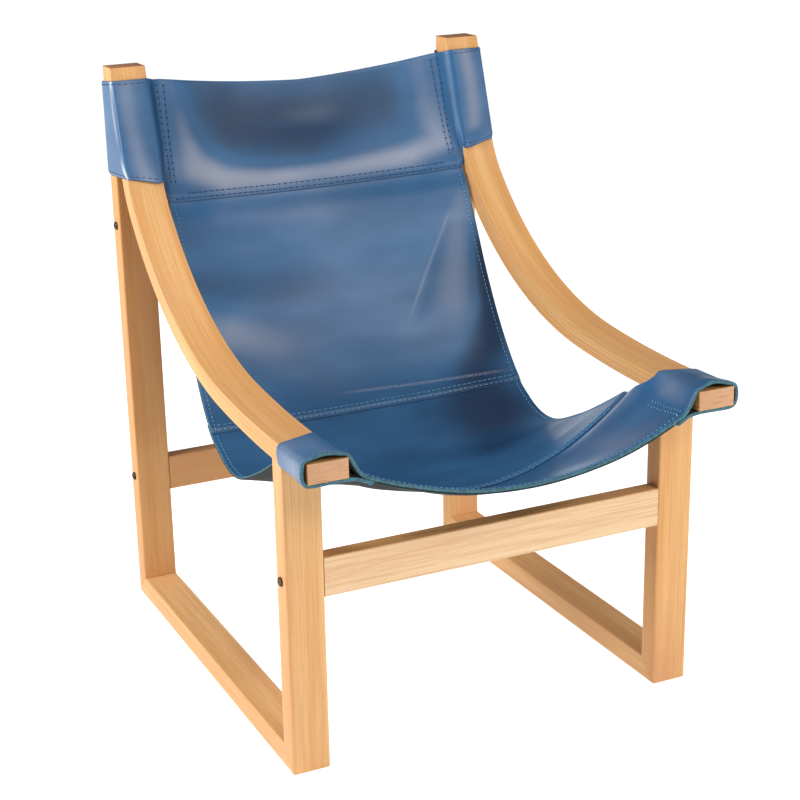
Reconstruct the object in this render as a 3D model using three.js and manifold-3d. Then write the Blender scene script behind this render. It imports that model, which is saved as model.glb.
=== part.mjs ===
// Leather sling lounge chair: two side frames of light wood, three stretchers bolted between
// them, and a leather sling that hangs from the two curved rails.
// Millimetres, +Z up. The chair stands on z = 0 and faces -Y.
import * as THREE from "three";
import { mergeVertices } from "three/addons/utils/BufferGeometryUtils.js";
import Module from "manifold-3d";

const wasm = await Module();
wasm.setup();
const turned = THREE.MathUtils.degToRad;

// Side frames
const chairWidth = 620;
const chairHeight = 865;
const memberWidth = 54.5;
const frontLegDepth = 31;
const rearLegDepth = 31;
const rearLegTopDepth = 11.6; // left behind the sling rail by the slanted cut
const rearLegLean = turned(0.66);
const floorRailHeight = 32.5;
const easedEdge = 2.6; // radius of every long edge
const glueLine = 0.3; // between glued, seated and sewn faces

// Sling rail's centreline from its tip: three bends, then straight to the top of the chair
const railDepth = 26.8;
const railTipReach = 87; // in front of the front leg
const railTipHeight = 458.4;
const railTipSlope = turned(-3.04);
const seatBendLength = 297;
const seatBendTurn = turned(9.22);
const backBendLength = 397;
const backBendTurn = turned(43.04);
const neckBendLength = 75;
const neckBendTurn = turned(23.06);

// Stretchers, with the places of their middles up the legs
const stretcherHeight = 56;
const stretcherDepth = 26;
const frontStretcherRise = 276.5;
const lowerStretcherRise = 208;
const upperStretcherDrop = 81; // below the hems of the head band's sleeves

// Bolts and the barrel nuts that they pull on
const boltDiameter = 6;
const boltHeadDiameter = 12.8;
const boltHeadHeight = 4;
const boltHeadRim = 1.1;
const boltTipChamfer = 1;
const socketAcross = 4.6;
const socketDepth = 2.2;
const nutDiameter = 10;
const nutLength = 14;
const nutInset = 32; // from the stretcher's end to the nut's middle
const nutSlotWidth = 1.5;
const nutSlotDepth = 1.2;
const holeClearance = 0.35; // round a bolt or a nut
const cutOverrun = 5;

// Leather, and the suede lining sewn under it
const leatherThickness = 2.8;
const liningThickness = 1.2;
const sewnLap = 18;
const lapRamp = 34; // over which a lapped panel comes level with its neighbour
const liningSetback = 2;
const slingSag = 186; // deepest drop of the sling's middle below the rails

// Loops over the rail tips and sleeves over the uprights
const loopFit = 0.4; // between leather and wood
const loopArch = 2.6; // more, over the middle of the rail's top
const loopSlack = 1.6; // more, beside the rail's outer face
const sleeveTopDrop = 18; // below the top of the chair
const sleeveHeight = 145;
const headSag = 20.5; // of the sling's top edge between the sleeves

// The sling's edge and middle, from the head down to the front.
// Rows: place along the rail as a share of its length, drop as a share of slingSag, and for the
// edge the distance from the middle as a share of half the clear width between the rails.
const edgeShares = [
  [0.972, 0.008, 0.932],
  [0.815, -0.01, 0.939],
  [0.768, -0.026, 0.978],
  [0.684, 0.092, 0.982],
  [0.605, 0.344, 1.002],
  [0.535, 0.603, 1.018],
  [0.472, 0.812, 1.025],
  [0.422, 0.903, 1.025],
  [0.377, 0.871, 1.025],
  [0.313, 0.634, 1.025],
  [0.249, 0.402, 1.022],
  [0.184, 0.179, 1.0],
  [0.141, 0.062, 0.984],
  [0.098, 0.09, 0.945],
  [0.045, 0.088, 0.939],
  [0.003, 0.078, 0.941],
];
const middleShares = [
  [0.977, 0.095],
  [0.823, 0.096],
  [0.774, 0.137],
  [0.694, 0.231],
  [0.614, 0.428],
  [0.541, 0.656],
  [0.473, 0.877],
  [0.401, 0.999],
  [0.348, 0.996],
  [0.291, 0.923],
  [0.195, 0.752],
  [0.095, 0.558],
  [-0.008, 0.362],
];
const seamShares = { head: 0.178, seat: 0.506, front: 0.8355 }; // of the sling's length
const rowCounts = { head: 6, back: 8, seat: 15, front: 6 };
const halfColumns = 8;
const frontLiningShare = 0.9; // of the sling's half width
const loopFlapShare = 0.92;
const loopRootShare = 0.993; // of the sling's half width, inside the strip's edge
const loopRowCount = 7;
const headFlapShare = 0.93;
// Where the loop's back edge lies, from the front leg's face, as shares of the leg's depth
const loopEndShares = {
  root: 1.5,
  topInner: 0.66,
  arch: 0.16,
  topOuter: -0.36,
  side: 0.06,
  underOuter: -0.36,
  underInner: -0.26,
  flap: -0.14,
};
// Where the sleeve's hem lies, as shares of the sleeve's height above or below it
const hemShares = { frontInner: -0.04, frontOuter: 0.02, rear: -0.02 };
const headFlapLengthShare = 0.137; // of the sling's length

// What follows from these sizes
const outerFace = chairWidth / 2;
const innerFace = outerFace - memberWidth;
const boltInset = frontLegDepth / 2; // behind the front face of the legs
const boltReach = nutInset + nutDiameter;
const upperStretcherRise = chairHeight - sleeveTopDrop - sleeveHeight - upperStretcherDrop;
const railBends = [
  [seatBendLength, seatBendTurn],
  [backBendLength, backBendTurn],
  [neckBendLength, neckBendTurn],
];
const bendsLength = seatBendLength + backBendLength + neckBendLength;
const bendsEnd = railAt(bendsLength);
const railLength = bendsLength + (chairHeight - bendsEnd.z) / Math.sin(bendsEnd.slope);

const materials = {
  wood: ["#e6bd84", 0.55, 0],
  leather: ["#3c5f88", 0.45, 0],
  suede: ["#4a5052", 0.95, 0],
  bronze: ["#4b3a2c", 0.4, 0.8],
};

function makeMesh(name, geometry, finish) {
  const [color, roughness, metalness] = materials[finish];
  const material = new THREE.MeshStandardMaterial({ color, roughness, metalness });
  const mesh = new THREE.Mesh(geometry, material);
  mesh.name = name;
  return mesh;
}

// Value between low and high where a rising measure meets the target
function solve(measure, target, low, high) {
  for (let step = 0; step < 60; step++) {
    const middle = (low + high) / 2;
    if (measure(middle) < target) low = middle;
    else high = middle;
  }
  return low;
}

// The rail's centreline at a distance from its tip
function railAt(along) {
  let y = -railTipReach;
  let z = railTipHeight;
  let slope = railTipSlope;
  let left = along;
  for (const [length, turn] of railBends) {
    const run = Math.min(left, length);
    const radius = length / turn;
    const next = slope + run / radius;
    y += radius * (Math.sin(next) - Math.sin(slope));
    z += radius * (Math.cos(slope) - Math.cos(next));
    slope = next;
    left -= run;
  }
  return { y: y + left * Math.cos(slope), z: z + left * Math.sin(slope), slope };
}

// A point below the rail's centreline, square to it
function belowRail(along, drop, x = 0) {
  const { y, z, slope } = railAt(along);
  return new THREE.Vector3(x, y + drop * Math.sin(slope), z - drop * Math.cos(slope));
}

// Height of the rail's top (side -1) or underside (side 1) over a place on the floor
function railHeightAt(y, side) {
  const drop = (side * railDepth) / 2;
  return belowRail(solve((along) => belowRail(along, drop).y, y, -railDepth, railLength), drop).z;
}

// Place of the rail's front (side -1) or back (side 1) at a height
function railDepthAt(z, side) {
  const drop = (side * railDepth) / 2;
  const top = railLength + railDepth;
  return belowRail(solve((along) => belowRail(along, drop).z, z, seatBendLength, top), drop).y;
}

const rearLegBackTop = railDepthAt(chairHeight, 1) + glueLine + rearLegTopDepth;
const floorDepth = rearLegBackTop - chairHeight * Math.tan(rearLegLean);
const rearLegThrough = rearLegDepth / Math.cos(rearLegLean); // along the floor

function rearLegBack(z) {
  return floorDepth + z * Math.tan(rearLegLean);
}

function rearLegFront(z) {
  return rearLegBack(z) - rearLegThrough;
}

// Arc of points round a corner, in a plane
function cornerArc(centre, radius, fromDegrees, toDegrees, steps) {
  const points = [];
  for (let i = 0; i <= steps; i++) {
    const angle = turned(fromDegrees + ((toDegrees - fromDegrees) * i) / steps);
    points.push([centre[0] + radius * Math.cos(angle), centre[1] + radius * Math.sin(angle)]);
  }
  return points;
}

// Outline of a bar with eased edges: x across it, and up to high and down to low square to it
function barOutline(width, low, high) {
  const side = width / 2 - easedEdge;
  const corners = [
    [side, low + easedEdge, 270, 360],
    [side, high - easedEdge, 0, 90],
    [-side, high - easedEdge, 90, 180],
    [-side, low + easedEdge, 180, 270],
  ];
  return corners.flatMap(([x, up, from, to]) => cornerArc([x, up], easedEdge, from, to, 3));
}

// One ring of a bar that runs in the YZ-plane
function barRing(x, at, low, high) {
  return barOutline(memberWidth, low, high).map(([across, up]) => {
    const y = at.y - up * Math.sin(at.slope);
    return new THREE.Vector3(x - across, y, at.z + up * Math.cos(at.slope));
  });
}

// Slides a ring along its bar until it lies in a plane through two points of the YZ-plane
function slideRing(ring, slope, from, to, shift = 0) {
  const along = new THREE.Vector3(0, Math.cos(slope), Math.sin(slope));
  const normal = new THREE.Vector3(0, to[1] - from[1], from[0] - to[0]).normalize();
  const onPlane = new THREE.Vector3(0, ...from).addScaledVector(normal, shift);
  return ring.map((point) => {
    const distance = onPlane.clone().sub(point).dot(normal) / along.dot(normal);
    return point.clone().addScaledVector(along, distance);
  });
}

function geometryFrom(points, triangles) {
  const geometry = new THREE.BufferGeometry().setFromPoints(points);
  geometry.setIndex(triangles);
  geometry.computeVertexNormals();
  return geometry;
}

// Closed skin through rings of as many points each
function loft(rings) {
  const count = rings[0].length;
  const triangles = [];
  for (let r = 0; r + 1 < rings.length; r++) {
    for (let i = 0; i < count; i++) {
      const a = r * count + i;
      const b = r * count + ((i + 1) % count);
      triangles.push(a, b, b + count, a, b + count, a + count);
    }
  }
  const last = (rings.length - 1) * count;
  for (let i = 1; i + 1 < count; i++) {
    triangles.push(0, i + 1, i);
    triangles.push(last, last + i, last + i + 1);
  }
  return geometryFrom(rings.flat(), triangles);
}

function solidFrom(geometry) {
  const bare = geometry.clone();
  bare.deleteAttribute("normal");
  bare.deleteAttribute("uv");
  const merged = mergeVertices(bare, glueLine / 1000);
  const vertProperties = merged.attributes.position.array;
  const triVerts = new Uint32Array(merged.index.array);
  return new wasm.Manifold(new wasm.Mesh({ numProp: 3, vertProperties, triVerts }));
}

function geometryOf(solid) {
  const mesh = solid.getMesh();
  const made = new THREE.BufferGeometry();
  made.setAttribute("position", new THREE.BufferAttribute(mesh.vertProperties, 3));
  made.setIndex(new THREE.BufferAttribute(mesh.triVerts, 1));
  made.computeVertexNormals();
  return made;
}

// The geometry with each of the others cut out of it
function cutFrom(geometry, cutters) {
  return geometryOf(cutters.reduce((solid, cutter) => solid.subtract(solidFrom(cutter)), solidFrom(geometry)));
}

// The geometry with each of the others joined to it
function joined(geometry, others) {
  return geometryOf(others.reduce((solid, other) => solid.add(solidFrom(other)), solidFrom(geometry)));
}

// Drill along X, at a place given in a crossing's own frame
function sideDrill(length, x, y) {
  const radius = boltDiameter / 2 + holeClearance;
  return new THREE.CylinderGeometry(radius, radius, length, 20).rotateZ(Math.PI / 2).translate(x, y, 0);
}

// Where each stretcher crosses the chair: its middle, on the front faces of its two legs
function crossingAt(y, z, lean) {
  const group = new THREE.Group();
  group.position.set(0, y, z);
  group.rotation.x = -lean;
  group.updateMatrix();
  return group;
}

const crossings = {
  front: crossingAt(0, frontStretcherRise, 0),
  lower_back: crossingAt(rearLegFront(lowerStretcherRise), lowerStretcherRise, rearLegLean),
  upper_back: crossingAt(rearLegFront(upperStretcherRise), upperStretcherRise, rearLegLean),
};

function legDrill(name) {
  const drill = sideDrill(chairWidth + 2 * cutOverrun, 0, boltInset);
  return drill.applyMatrix4(crossings[name].matrix);
}

// Mitre planes of the floor corners, from the outer corner to the inner one
const frontMitre = [
  [0, 0],
  [frontLegDepth, floorRailHeight],
];
const rearMitre = [
  [floorDepth, 0],
  [rearLegFront(floorRailHeight), floorRailHeight],
];

function frontLeg(x) {
  const slope = Math.PI / 2;
  const half = frontLegDepth / 2;
  const seat = [0, frontLegDepth].map((y) => [y, railHeightAt(y, 1)]);
  const foot = barRing(x, { y: half, z: 0, slope }, -half, half);
  const head = barRing(x, { y: half, z: seat[0][1], slope }, -half, half);
  const rings = [
    slideRing(foot, slope, ...frontMitre, -glueLine / 2),
    slideRing(head, slope, ...seat, glueLine),
  ];
  return cutFrom(loft(rings), [legDrill("front")]);
}

function rearLeg(x) {
  const slope = Math.PI / 2 - rearLegLean;
  const half = rearLegDepth / 2;
  const middleAt = (z) => ({ y: (rearLegBack(z) + rearLegFront(z)) / 2, z, slope });
  const meets = (z) => railDepthAt(z, 1) + glueLine - rearLegFront(z);
  const kneeHeight = solve(meets, 0, upperStretcherRise, chairHeight);
  const topFront = half - (rearLegThrough - rearLegTopDepth) * Math.cos(rearLegLean);
  const level = [
    [0, chairHeight],
    [floorDepth, chairHeight],
  ];
  const rings = [
    slideRing(barRing(x, middleAt(0), -half, half), slope, ...rearMitre, glueLine / 2),
    barRing(x, middleAt(kneeHeight), -half, half),
    slideRing(barRing(x, middleAt(chairHeight), -half, topFront), slope, ...level),
  ];
  return cutFrom(loft(rings), [legDrill("lower_back"), legDrill("upper_back")]);
}

function floorRail(x) {
  const half = floorRailHeight / 2;
  const front = barRing(x, { y: 0, z: half, slope: 0 }, -half, half);
  const rear = barRing(x, { y: floorDepth, z: half, slope: 0 }, -half, half);
  return loft([
    slideRing(front, 0, ...frontMitre, glueLine / 2),
    slideRing(rear, 0, ...rearMitre, -glueLine / 2),
  ]);
}

function slingRail(x) {
  const stepCounts = [5, 14, 9];
  const places = [0];
  railBends.forEach(([length], bend) => {
    const start = places[places.length - 1];
    for (let i = 1; i <= stepCounts[bend]; i++) places.push(start + (length * i) / stepCounts[bend]);
  });
  places.push(railLength);
  const half = railDepth / 2;
  const rings = places.map((along) => barRing(x, railAt(along), -half, half));
  const upright = [-railTipReach, 0];
  const level = [0, chairHeight];
  rings[0] = slideRing(rings[0], railTipSlope, upright, [-railTipReach, chairHeight]);
  const last = rings.length - 1;
  rings[last] = slideRing(rings[last], bendsEnd.slope, level, [floorDepth, chairHeight]);
  return loft(rings);
}

// Stretcher in its crossing's frame, drilled for two bolts and two barrel nuts
function stretcher() {
  const length = 2 * (innerFace - glueLine);
  const outline = barOutline(stretcherHeight, 0, stretcherDepth).map(([up, y]) => new THREE.Vector2(up, y));
  const bar = new THREE.ExtrudeGeometry(new THREE.Shape(outline), { depth: length, bevelEnabled: false });
  bar.rotateY(-Math.PI / 2).translate(length / 2, 0, 0);
  const nutRadius = nutDiameter / 2 + holeClearance;
  const nutBottom = boltInset - nutLength / 2 - holeClearance;
  const nutHole = stretcherDepth + cutOverrun - nutBottom;
  const cutters = [-1, 1].flatMap((side) => {
    const nutX = side * (length / 2 - nutInset);
    const boltHole = boltReach + holeClearance + cutOverrun;
    const nutCut = new THREE.CylinderGeometry(nutRadius, nutRadius, nutHole, 24);
    return [
      sideDrill(boltHole, side * (length / 2 + cutOverrun - boltHole / 2), boltInset),
      nutCut.translate(nutX, nutBottom + nutHole / 2, 0),
    ];
  });
  return cutFrom(bar, cutters);
}

// Dome-headed bolt along X, its head's seat on x = 0 and its shank towards -X
function bolt() {
  const radius = boltDiameter / 2;
  const headRadius = boltHeadDiameter / 2;
  const domeHeight = boltHeadHeight - boltHeadRim;
  const shank = memberWidth + 2 * glueLine + boltReach;
  const dome = [];
  for (let i = 0; i <= 5; i++) {
    const angle = (Math.PI / 2) * (i / 5);
    const out = headRadius * Math.cos(angle);
    dome.push(new THREE.Vector2(i < 5 ? out : 0, boltHeadRim + domeHeight * Math.sin(angle)));
  }
  const profile = [
    new THREE.Vector2(0, -shank),
    new THREE.Vector2(radius - boltTipChamfer, -shank),
    new THREE.Vector2(radius, -shank + boltTipChamfer),
    new THREE.Vector2(radius, 0),
    new THREE.Vector2(headRadius, 0),
    ...dome,
  ];
  const socketLength = socketDepth + cutOverrun;
  const socket = new THREE.CylinderGeometry(socketAcross / 2, socketAcross / 2, socketLength, 6);
  socket.translate(0, boltHeadHeight + cutOverrun - socketLength / 2, 0);
  return cutFrom(new THREE.LatheGeometry(profile, 18), [socket]).rotateZ(-Math.PI / 2);
}

// Barrel nut along Y, with the bolt's hole across it and a slot to line it up
function barrelNut() {
  const radius = nutDiameter / 2;
  const barrel = new THREE.CylinderGeometry(radius, radius, nutLength, 24);
  const slot = new THREE.BoxGeometry(nutDiameter + cutOverrun, 2 * nutSlotDepth, nutSlotWidth);
  slot.translate(0, nutLength / 2, 0);
  return cutFrom(barrel, [sideDrill(nutDiameter + cutOverrun, 0, 0), slot]);
}

function addCrossing(chair, name) {
  const crossing = crossings[name];
  crossing.add(makeMesh(name + "_stretcher", stretcher(), "wood"));
  for (const [sideName, side] of sides) {
    const screw = makeMesh(sideName + "_" + name + "_bolt", bolt(), "bronze");
    screw.position.set(side * (outerFace + glueLine), boltInset, 0);
    screw.rotation.z = side > 0 ? 0 : Math.PI;
    const nut = makeMesh(sideName + "_" + name + "_barrel_nut", barrelNut(), "bronze");
    nut.position.set(side * (innerFace - glueLine - nutInset), boltInset, 0);
    crossing.add(screw, nut);
  }
  chair.add(crossing);
}

// The sling's master surface lies in the middle of the leather's thickness
const halfLeather = leatherThickness / 2;
const lapStep = leatherThickness + glueLine;
const slingEdge = new THREE.CatmullRomCurve3(
  edgeShares.map(([along, drop, out]) => belowRail(along * railLength, drop * slingSag, out * innerFace)),
);
const slingMiddle = new THREE.CatmullRomCurve3(
  middleShares.map(([along, drop]) => belowRail(along * railLength, drop * slingSag)),
);
slingEdge.arcLengthDivisions = 400;
slingMiddle.arcLengthDivisions = 400;
const slingLength = slingMiddle.getLength();
const lapShare = sewnLap / slingLength;

// Point of the sling: across from -1 to 1 between its edges, down from 0 at the head to 1 in front
function slingPoint(across, down) {
  const edge = slingEdge.getPointAt(down);
  const point = slingMiddle.getPointAt(down).lerp(edge, across ** 2);
  point.x = across * edge.x;
  return point;
}

// Shares of the sling's length at which its rows lie, with every seam, lap and lining end
function rowPlaces() {
  const { head, seat, front } = seamShares;
  const setback = liningSetback / slingLength;
  const stops = [
    [0, head - lapShare, rowCounts.head],
    [head - lapShare, head, 1],
    [head, seat - lapShare - setback, rowCounts.back],
    [seat - lapShare - setback, seat - lapShare, 1],
    [seat - lapShare, seat, 1],
    [seat, front - lapShare - setback, rowCounts.seat],
    [front - lapShare - setback, front - lapShare, 1],
    [front - lapShare, front, 1],
    [front, 1, rowCounts.front],
  ];
  const inside = ([from, to, count]) => Array.from({ length: count }, (_, i) => from + ((to - from) * i) / count);
  return [...stops.flatMap(inside), 1];
}

const places = rowPlaces();
const acrossPlaces = Array.from({ length: 2 * halfColumns + 1 }, (_, i) => i / halfColumns - 1);

function placesBetween(from, to) {
  const slack = liningSetback / slingLength / 2;
  return places.filter((place) => place > from - slack && place < to + slack);
}

// How far a panel lies below its neighbour's level: a full step under the lap, none past the ramp
function lapDrop(place, seam) {
  return -lapStep * (1 - THREE.MathUtils.smoothstep((place - seam) * slingLength, 0, lapRamp));
}

// Grid moved square to itself by a distance for each row; corners between columns keep their width
function offsetGrid(grid, distanceAt) {
  return grid.map((row, r) => {
    const above = grid[Math.max(r - 1, 0)];
    const below = grid[Math.min(r + 1, grid.length - 1)];
    return row.map((point, c) => {
      const down = below[c].clone().sub(above[c]);
      const before = point.clone().sub(row[Math.max(c - 1, 0)]);
      const after = row[Math.min(c + 1, row.length - 1)].clone().sub(point);
      const first = down.clone().cross(c ? before : after).normalize();
      const second = down.clone().cross(c + 1 < row.length ? after : before).normalize();
      const mitre = first.clone().add(second).divideScalar(1 + first.dot(second));
      return point.clone().addScaledVector(mitre, distanceAt(r));
    });
  });
}

// Closed sheet between an upper and a lower grid
function sheet(upper, lower) {
  const rows = upper.length;
  const columns = upper[0].length;
  const under = rows * columns;
  const triangles = [];
  const at = (r, c) => r * columns + c;
  for (let r = 0; r + 1 < rows; r++) {
    for (let c = 0; c + 1 < columns; c++) {
      const [a, b, d, e] = [at(r, c), at(r, c + 1), at(r + 1, c), at(r + 1, c + 1)];
      triangles.push(a, d, e, a, e, b);
      triangles.push(under + a, under + e, under + d, under + a, under + b, under + e);
    }
  }
  const wall = (a, b) => triangles.push(a, b, under + b, a, under + b, under + a);
  for (let r = 0; r + 1 < rows; r++) {
    wall(at(r + 1, 0), at(r, 0));
    wall(at(r, columns - 1), at(r + 1, columns - 1));
  }
  for (let c = 0; c + 1 < columns; c++) {
    wall(at(0, c), at(0, c + 1));
    wall(at(rows - 1, c + 1), at(rows - 1, c));
  }
  return geometryFrom([...upper.flat(), ...lower.flat()], triangles);
}

function layer(grid, levelAt, top, bottom) {
  return sheet(
    offsetGrid(grid, (r) => levelAt(r) + top),
    offsetGrid(grid, (r) => levelAt(r) + bottom),
  );
}

// A panel of the sling between two places, lapped under its upper neighbour at one seam
function slingLayer(from, to, seam, top, bottom, acrossShare = 1) {
  const rows = placesBetween(from, to);
  const columns = acrossPlaces.filter((across) => Math.abs(across) <= acrossShare);
  const grid = rows.map((down) => columns.map((across) => slingPoint(across, down)));
  return layer(grid, (r) => lapDrop(rows[r], seam), top, bottom);
}

const liningTop = -halfLeather - glueLine;
const liningBottom = liningTop - liningThickness;

function panel(from, to, seam) {
  return slingLayer(from, to, seam, halfLeather, -halfLeather);
}

function lining(from, to, seam, acrossShare) {
  return slingLayer(from, to, seam, liningTop, liningBottom, acrossShare);
}

function mirrored(grid) {
  return grid.map((row) => row.map((point) => new THREE.Vector3(-point.x, point.y, point.z)).reverse());
}

// Point of the flap that is sewn behind the sling near its edge
function flapPoint(across, down) {
  const nudge = 1 / slingLength;
  const [above, below] = [Math.max(down - nudge, 0), Math.min(down + nudge, 1)];
  const downward = slingPoint(across, below).sub(slingPoint(across, above));
  const outward = slingPoint(across, down).sub(slingPoint(across - nudge, down));
  const normal = downward.cross(outward).normalize();
  return slingPoint(across, down).addScaledVector(normal, -lapStep);
}

// Loop of the front band: up from the sling's edge, over the rail's tip and back under the sling
function tipLoop(side) {
  const radius = easedEdge + loopFit + halfLeather;
  const frontY = slingEdge.getPointAt(1).y;
  const edgeLength = slingEdge.getLength();
  const placeFor = (forward, endShare) => {
    const reach = endShare * frontLegDepth - frontY;
    return 1 - (reach / edgeLength) * (1 - forward);
  };
  const round = (endShare, x, up, angle, face) => (forward) => {
    const y = slingEdge.getPointAt(placeFor(forward, endShare)).y;
    const [[outX, outZ]] = cornerArc([x, up + railHeightAt(y, face)], radius, angle, angle, 1);
    return new THREE.Vector3(outX, y, outZ);
  };
  const ends = loopEndShares;
  const inner = innerFace + easedEdge;
  const outer = outerFace - easedEdge + loopSlack;
  const middle = (inner + outer) / 2;
  const high = -easedEdge;
  const sideHigh = -railDepth / 2;
  const flap = (across) => (forward) => flapPoint(across, placeFor(forward, ends.flap));
  const columns = [
    (forward) => slingPoint(loopRootShare, placeFor(forward, ends.root)),
    ...[150, 120, 90].map((angle) => round(ends.topInner, inner, high, angle, -1)),
    round(ends.arch, middle, high + loopArch, 90, -1),
    ...[90, 60, 30].map((angle) => round(ends.topOuter, outer, high, angle, -1)),
    round(ends.side, outer, sideHigh, 0, -1),
    ...[-30, -60, -90].map((angle) => round(ends.underOuter, outer, easedEdge, angle, 1)),
    round(ends.underInner, innerFace, easedEdge, -90, 1),
    flap(1),
    flap(loopFlapShare),
  ];
  const rows = Array.from({ length: loopRowCount + 1 }, (_, i) => i / loopRowCount);
  const grid = rows.map((forward) => columns.map((column) => column(forward)));
  return layer(side > 0 ? grid : mirrored(grid), () => 0, halfLeather, -halfLeather);
}

// Front band: the sling's front strip with a loop at each end
function frontBand() {
  const strip = panel(seamShares.front - lapShare, 1, seamShares.front);
  return joined(strip, [tipLoop(-1), tipLoop(1)]);
}

// Head band: the sling's top strip, with a sleeve at each end round the rail and the rear leg
function headBand() {
  const { head } = seamShares;
  const rows = placesBetween(0, head);
  const radius = easedEdge + loopFit + halfLeather;
  const top = chairHeight - sleeveTopDrop;
  const heightFor = (place, hemShare) => top - sleeveHeight * (1 - hemShare) * (place / head);
  const round = (hemShare, x, inset, faceAt, angle) => (place) => {
    const z = heightFor(place, hemShare);
    const [[outX, outY]] = cornerArc([x, faceAt(z) + inset], radius, angle, angle, 1);
    return new THREE.Vector3(outX, outY, z);
  };
  const railFront = (z) => railDepthAt(z, -1);
  const inner = innerFace + easedEdge;
  const outer = outerFace - easedEdge;
  const flap = (across) => (place) => flapPoint(across, (headFlapLengthShare * place) / head);
  const columns = [
    ...[225, 248, 270].map((angle) => round(hemShares.frontInner, inner, easedEdge, railFront, angle)),
    ...[270, 300, 330, 360].map((angle) => round(hemShares.frontOuter, outer, easedEdge, railFront, angle)),
    ...[0, 30, 60, 90].map((angle) => round(hemShares.rear, outer, -easedEdge, rearLegBack, angle)),
    ...[90, 120, 150].map((angle) => round(hemShares.rear, inner, -easedEdge, rearLegBack, angle)),
    flap(1),
    flap(headFlapShare),
  ];
  const lapStart = head - lapShare;
  const middleRow = (across, place) => {
    const sag = (headSag / slingLength) * (1 - Math.abs(across) ** 1.4);
    return slingPoint(across, place + sag * Math.max(0, 1 - place / lapStart));
  };
  const right = rows.map((place) => columns.map((column) => column(place)));
  const left = mirrored(right);
  const middle = rows.map((place) => acrossPlaces.map((across) => middleRow(across, place)));
  const grid = rows.map((_, r) => [...left[r], ...middle[r], ...right[r]]);
  return layer(grid, () => 0, halfLeather, -halfLeather);
}

const sides = [
  ["left", -1],
  ["right", 1],
];

const chair = new THREE.Group();

for (const [sideName, side] of sides) {
  const x = side * (outerFace - memberWidth / 2);
  chair.add(makeMesh(sideName + "_front_leg", frontLeg(x), "wood"));
  chair.add(makeMesh(sideName + "_rear_leg", rearLeg(x), "wood"));
  chair.add(makeMesh(sideName + "_floor_rail", floorRail(x), "wood"));
  chair.add(makeMesh(sideName + "_sling_rail", slingRail(x), "wood"));
}

for (const name of Object.keys(crossings)) addCrossing(chair, name);

const { head, seat, front } = seamShares;
const setback = lapShare + liningSetback / slingLength;
chair.add(makeMesh("head_band", headBand(), "leather"));
chair.add(makeMesh("back_panel", panel(head - lapShare, seat, head), "leather"));
chair.add(makeMesh("seat_panel", panel(seat - lapShare, front, seat), "leather"));
chair.add(makeMesh("front_band", frontBand(), "leather"));
chair.add(makeMesh("back_lining", lining(head - lapShare, seat - setback, head), "suede"));
chair.add(makeMesh("seat_lining", lining(seat - lapShare, front - setback, seat), "suede"));
chair.add(makeMesh("front_lining", lining(front - lapShare, 1, front, frontLiningShare), "suede"));

// The origin is the middle of the chair's outline on the floor
const outline = new THREE.Box3().setFromObject(chair, true);
chair.position.y = -(outline.min.y + outline.max.y) / 2;

export default chair;
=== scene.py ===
import math

import bpy
import numpy as np
from mathutils import Matrix, Vector
from mathutils.bvhtree import BVHTree


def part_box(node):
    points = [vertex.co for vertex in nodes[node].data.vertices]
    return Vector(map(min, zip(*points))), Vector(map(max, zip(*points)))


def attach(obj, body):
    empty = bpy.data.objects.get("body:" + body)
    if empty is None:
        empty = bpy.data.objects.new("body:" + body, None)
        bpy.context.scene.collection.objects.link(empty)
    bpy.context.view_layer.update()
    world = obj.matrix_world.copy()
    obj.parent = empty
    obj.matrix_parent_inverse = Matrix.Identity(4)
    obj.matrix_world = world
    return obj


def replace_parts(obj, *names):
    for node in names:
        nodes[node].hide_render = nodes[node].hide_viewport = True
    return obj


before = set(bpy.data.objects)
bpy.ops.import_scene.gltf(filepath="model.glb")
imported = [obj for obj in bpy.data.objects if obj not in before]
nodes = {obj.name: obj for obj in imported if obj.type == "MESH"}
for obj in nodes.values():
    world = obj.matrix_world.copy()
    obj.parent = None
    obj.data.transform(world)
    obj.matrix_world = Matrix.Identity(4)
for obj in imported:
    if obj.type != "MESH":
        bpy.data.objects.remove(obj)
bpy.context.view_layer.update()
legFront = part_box("left_front_leg")[0].y  # shapes are worked out from the front legs' front face


# Camera, fitted to the photograph's corner points
cameraFit = {
    "picture": 800,
    "focal": 1732.265,
    "centre": (300, 385),
    "azimuth": -22.4446,
    "elevation": 18.2135,
    "roll": -2.0949,
    "distance": 3.189,
    "target": (0.0974, 0.62959, 0.2181),
}


def makeCamera(fit):
    azimuth, elevation, roll = (math.radians(fit[k]) for k in ("azimuth", "elevation", "roll"))
    flat = math.cos(elevation)
    back = Vector((math.sin(azimuth) * flat, -math.cos(azimuth) * flat, math.sin(elevation)))
    right = Vector((0, 0, 1)).cross(back).normalized()
    up = back.cross(right)
    turnedRight = math.cos(roll) * right + math.sin(roll) * up
    turnedUp = math.cos(roll) * up - math.sin(roll) * right
    lens = bpy.data.cameras.new("camera")
    lens.lens = fit["focal"] * lens.sensor_width / fit["picture"]
    lens.shift_x = 0.5 - fit["centre"][0] / fit["picture"]
    lens.shift_y = fit["centre"][1] / fit["picture"] - 0.5
    camera = bpy.data.objects.new("camera", lens)
    turn = Matrix((turnedRight, turnedUp, back)).transposed().to_4x4()
    camera.matrix_world = Matrix.Translation(Vector(fit["target"]) + back * fit["distance"]) @ turn
    bpy.context.scene.collection.objects.link(camera)
    bpy.context.scene.camera = camera


makeCamera(cameraFit)


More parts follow.
